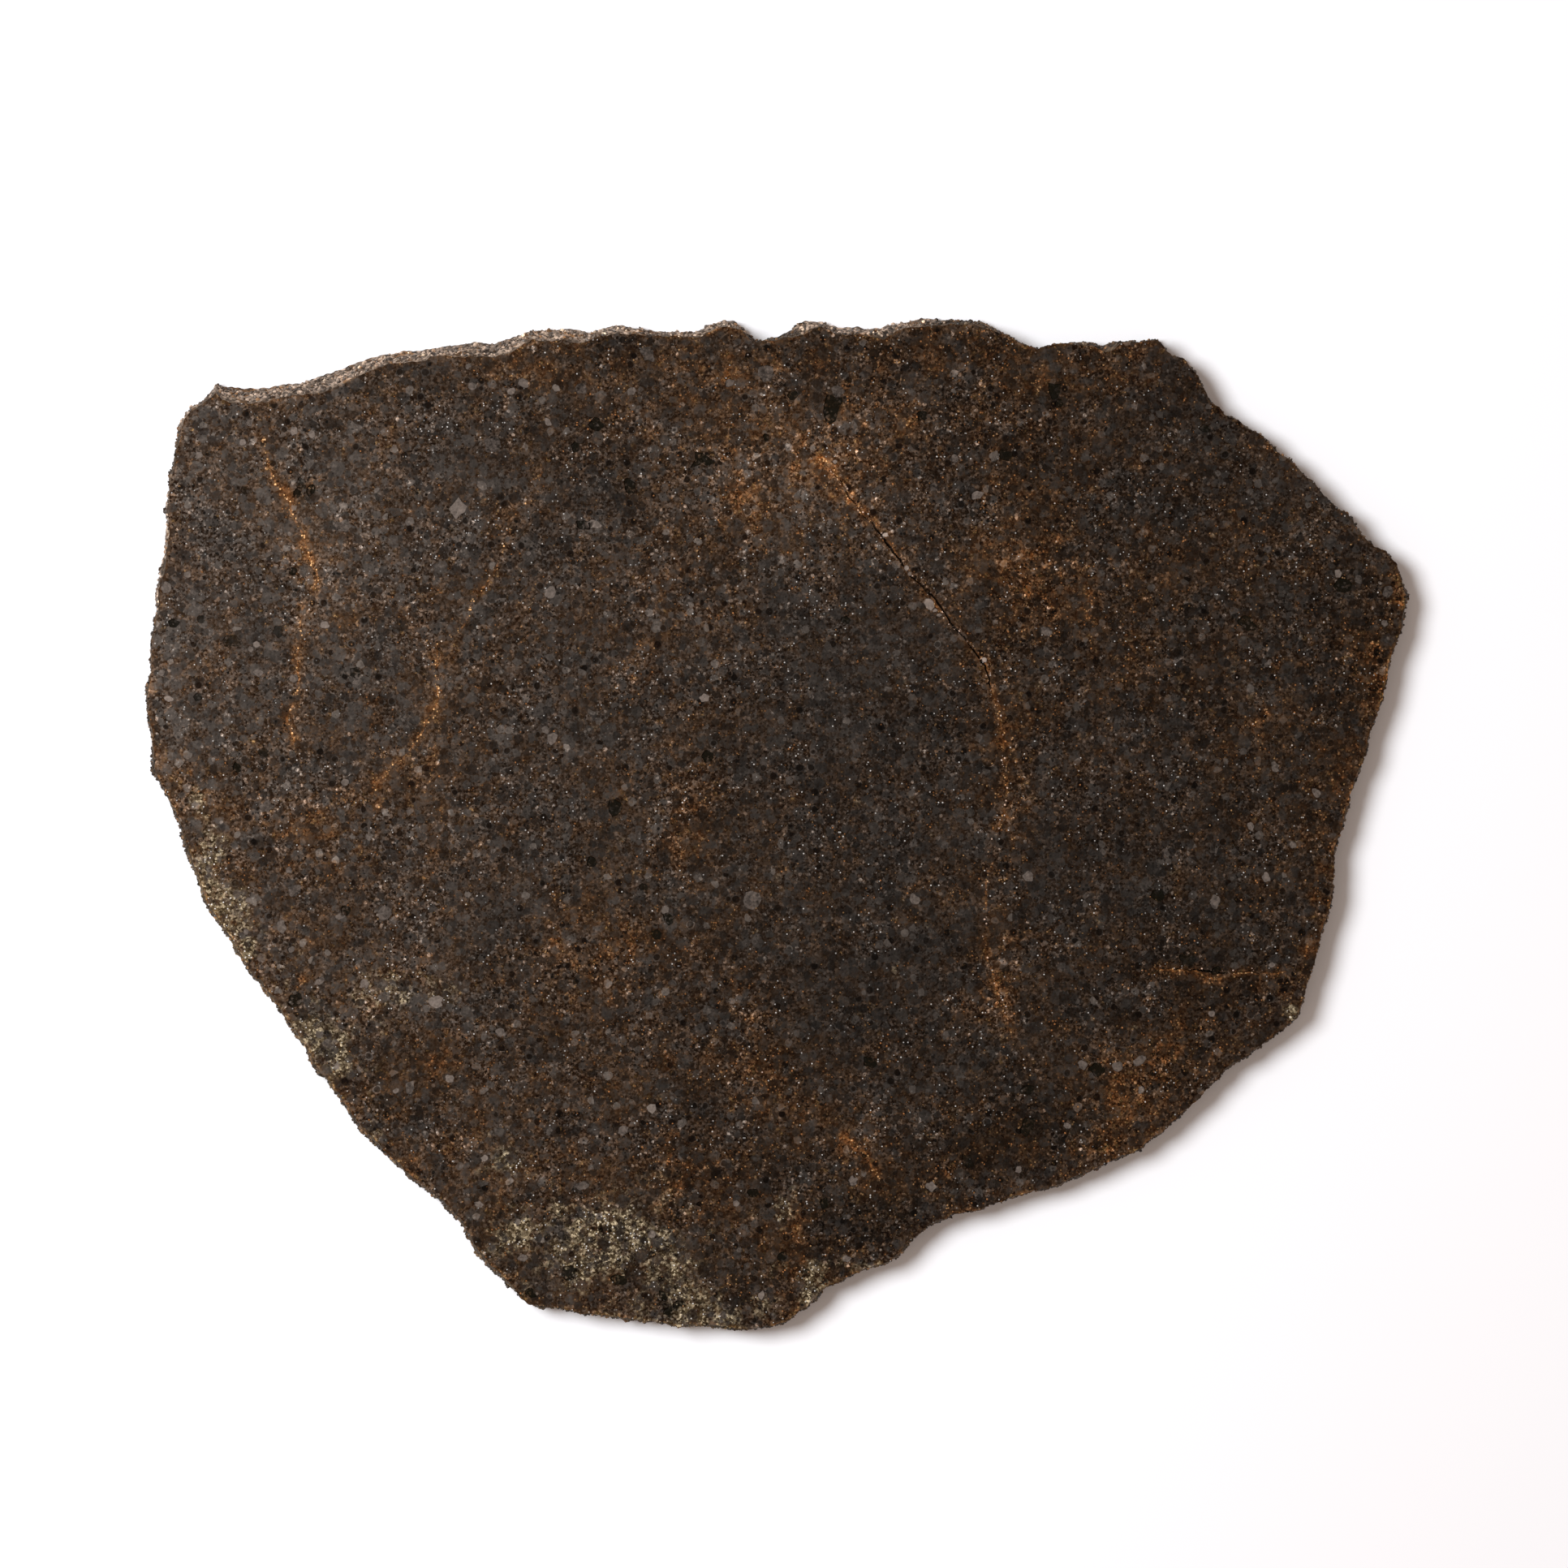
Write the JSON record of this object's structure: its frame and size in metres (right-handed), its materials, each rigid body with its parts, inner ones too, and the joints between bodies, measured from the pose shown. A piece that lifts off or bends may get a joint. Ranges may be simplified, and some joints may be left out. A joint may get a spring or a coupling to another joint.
{
  "type": "brachinite meteorite slice",
  "caption": "Thin flat slice of dark granular stony meteorite with sawn faces and a rough broken edge all round.",
  "frame": {"origin": "on the back sawn face, under the middle of the slice's box", "axes": "+X along the slice's longest side, to the right when the front face is looked at; +Z out of the front sawn face; the back face lies in the XY plane"},
  "size_m": [0.1013, 0.0812, 0.0027],
  "materials": {
    "stone": "fine-sawn granular stone, dull, dark brownish grey with orange-brown iron stains"
  },
  "bodies": {
    "root": {"meteorite_slice": "stone"}
  },
  "joints": []
}
